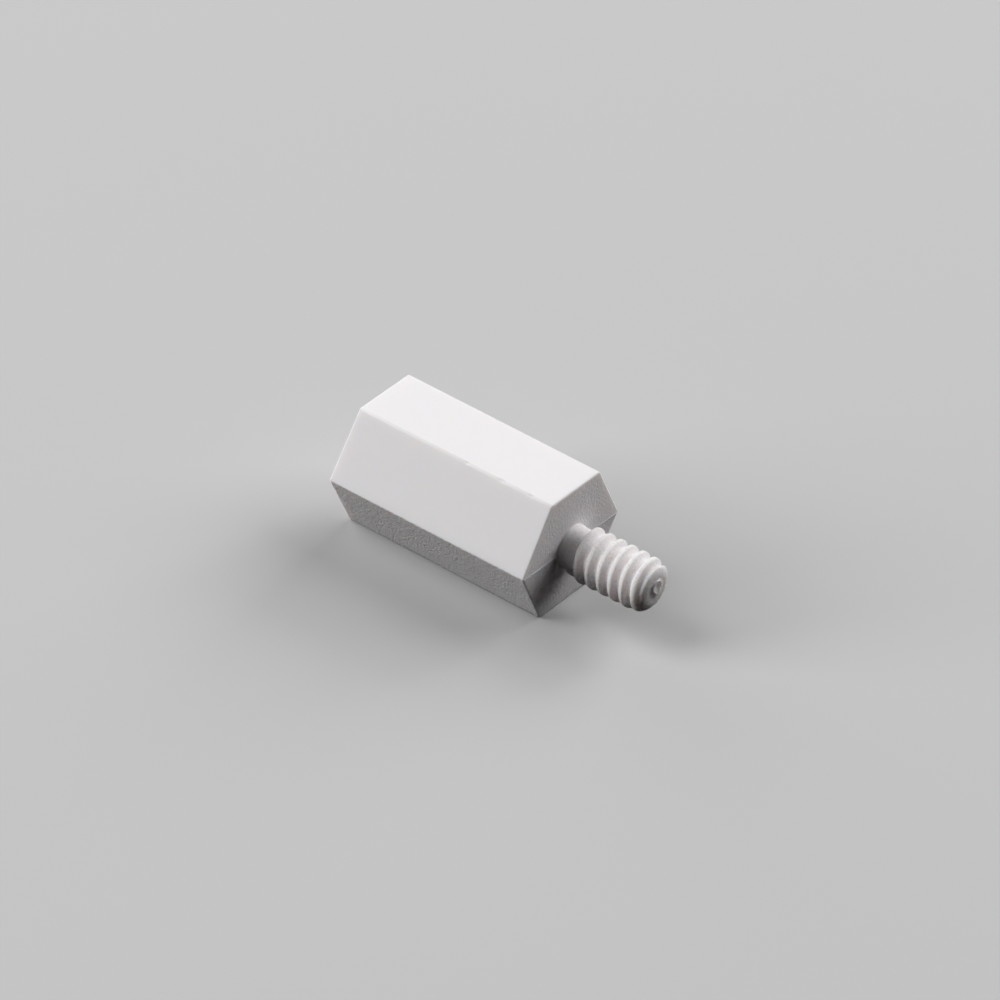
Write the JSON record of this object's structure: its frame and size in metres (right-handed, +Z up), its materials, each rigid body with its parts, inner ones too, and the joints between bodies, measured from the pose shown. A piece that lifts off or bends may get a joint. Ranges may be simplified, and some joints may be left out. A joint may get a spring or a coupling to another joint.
{
  "type": "hex standoff",
  "caption": "Male-female hex standoff moulded in one piece in white nylon: a hexagonal body with a short threaded stud on one end and a blind tapped hole in the other.",
  "frame": {"origin": "centre of the shoulder face, where the axis of the thread meets it", "axes": "+X along the stud, away from the hexagonal body; +Z up, normal to the flat that faces away from the one it lies on; +Y across the corners, in the mould's parting plane"},
  "size_m": [0.016, 0.0074, 0.0064],
  "materials": {
    "nylon": "white nylon as moulded, satin, slightly translucent"
  },
  "bodies": {
    "root": {"hex_standoff": "nylon"}
  },
  "joints": []
}
